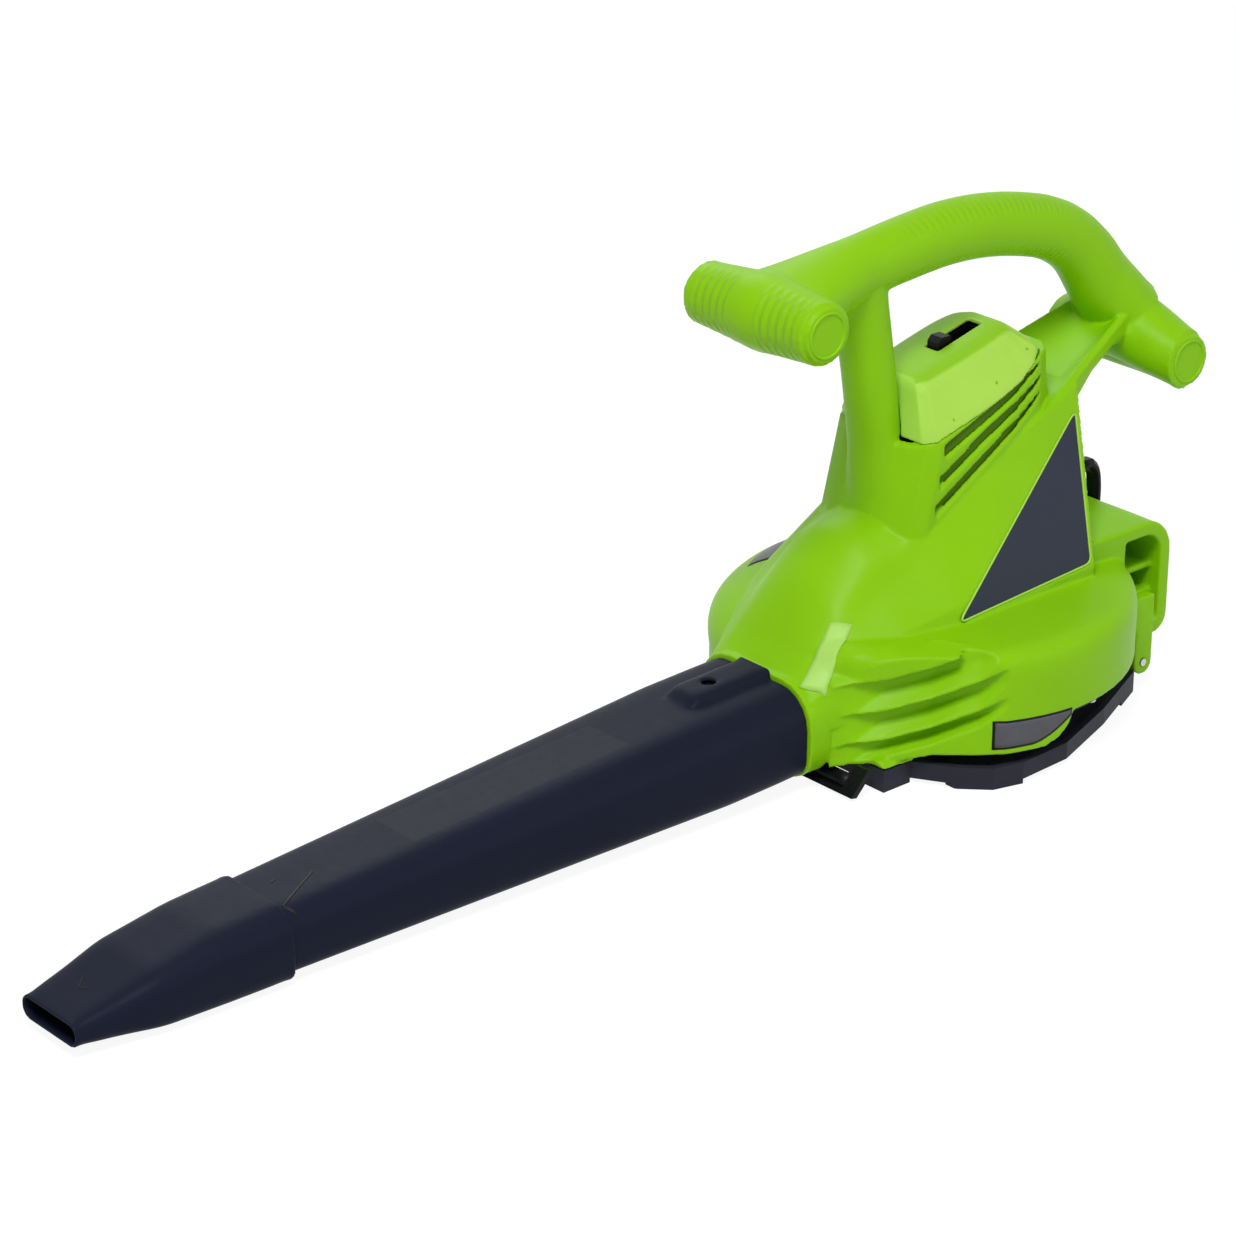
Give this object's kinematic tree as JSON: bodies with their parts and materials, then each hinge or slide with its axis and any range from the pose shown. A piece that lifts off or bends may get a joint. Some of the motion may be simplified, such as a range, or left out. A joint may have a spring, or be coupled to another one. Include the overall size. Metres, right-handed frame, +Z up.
{
  "type": "leaf blower",
  "caption": "Corded handheld leaf blower: moulded housing over a vertical fan, arched handle with two cross grips, long tapering tube and a hinged intake guard.",
  "frame": {"origin": "middle of the bounding box in plan, at the level of the floor it stands on", "axes": "+X towards the rear handle and the power inlet, -X towards the nozzle, +Z up, +Y the right-hand side of the user"},
  "size_m": [0.8458, 0.2652, 0.3236],
  "materials": {
    "green_plastic": "satin moulded plastic",
    "light_green_plastic": "satin moulded plastic",
    "panel_plastic": "fine textured plate",
    "charcoal_plastic": "fine textured moulded plastic",
    "black_plastic": "satin moulded plastic",
    "grey_plastic": "satin glass-filled plastic",
    "steel": "zinc plated",
    "brass": "drawn",
    "copper": "enamelled winding",
    "lamination_steel": "stacked laminations",
    "carbon": "pressed carbon"
  },
  "bodies": {
    "housing": {"left_housing": "green_plastic", "right_housing": "green_plastic", "rear_box": "green_plastic", "motor_cover": "light_green_plastic", "left_side_panel": "panel_plastic", "right_side_panel": "panel_plastic", "volute_floor": "charcoal_plastic", "floor_screw_1": "steel", "floor_screw_2": "steel", "floor_screw_3": "steel", "floor_screw_4": "steel", "floor_screw_5": "steel", "floor_screw_6": "steel", "housing_screw_1": "steel", "housing_screw_2": "steel", "housing_screw_3": "steel", "housing_screw_4": "steel", "housing_screw_5": "steel", "housing_screw_6": "steel", "power_inlet": "black_plastic", "inlet_pin_left": "brass", "inlet_pin_right": "brass", "cord_hook": "black_plastic", "switch_body": "black_plastic", "hinge_pin_left": "steel", "hinge_pin_right": "steel", "latch_pin": "steel", "lower_bearing": "steel", "upper_bearing": "steel", "motor_field": "lamination_steel", "field_coil_front": "copper", "field_coil_rear": "copper", "lower_bracket": "black_plastic", "upper_bracket": "black_plastic", "brush_holder_right": "brass", "brush_holder_left": "brass", "brush_right": "carbon", "brush_left": "carbon", "brush_spring_right": "steel", "brush_spring_left": "steel"},
    "rotor": {"motor_shaft": "steel", "fan_wheel": "grey_plastic", "fan_washer": "steel", "fan_nut": "steel", "armature": "lamination_steel", "lower_winding": "copper", "upper_winding": "copper", "commutator": "copper", "cooling_fan": "charcoal_plastic"},
    "guard": {"intake_guard": "charcoal_plastic"},
    "latch": {"guard_latch": "black_plastic"},
    "tube": {"blow_tube": "charcoal_plastic"},
    "nozzle": {"nozzle": "charcoal_plastic"},
    "switch": {"switch_knob": "black_plastic"},
    "lock": {"lock_button": "black_plastic"}
  },
  "joints": [
    {"name": "fan_spin", "type": "hinge", "parent": "housing", "child": "rotor", "pos_m": [0.22712, -0.0006, 0.12], "axis": [0, 0, 1], "continuous": true},
    {"name": "guard_hinge", "type": "hinge", "parent": "housing", "child": "guard", "pos_m": [0.34612, -0.0006, 0.017], "axis": [0, -1, 0], "range_deg": [0, 100]},
    {"name": "latch_pivot", "type": "hinge", "parent": "housing", "child": "latch", "pos_m": [0.10812, -0.0006, 0.011], "axis": [0, 1, 0], "range_deg": [0, 6], "stiffness_Nm_per_rad": 2, "springref_deg": -2.86},
    {"name": "tube_slide", "type": "slide", "parent": "housing", "child": "tube", "axis": [-0.9994, 0, -0.0355], "range_m": [0, 0.055]},
    {"name": "nozzle_slide", "type": "slide", "parent": "tube", "child": "nozzle", "axis": [-0.9994, 0, -0.0355], "range_m": [0, 0.038]},
    {"name": "switch_slide", "type": "slide", "parent": "housing", "child": "switch", "axis": [1, 0, 0], "range_m": [0, 0.012]},
    {"name": "lock_press", "type": "slide", "parent": "housing", "child": "lock", "axis": [0, 0, -1], "range_m": [0, 0.003], "stiffness_N_per_m": 800, "springref_m": -0.002}
  ]
}
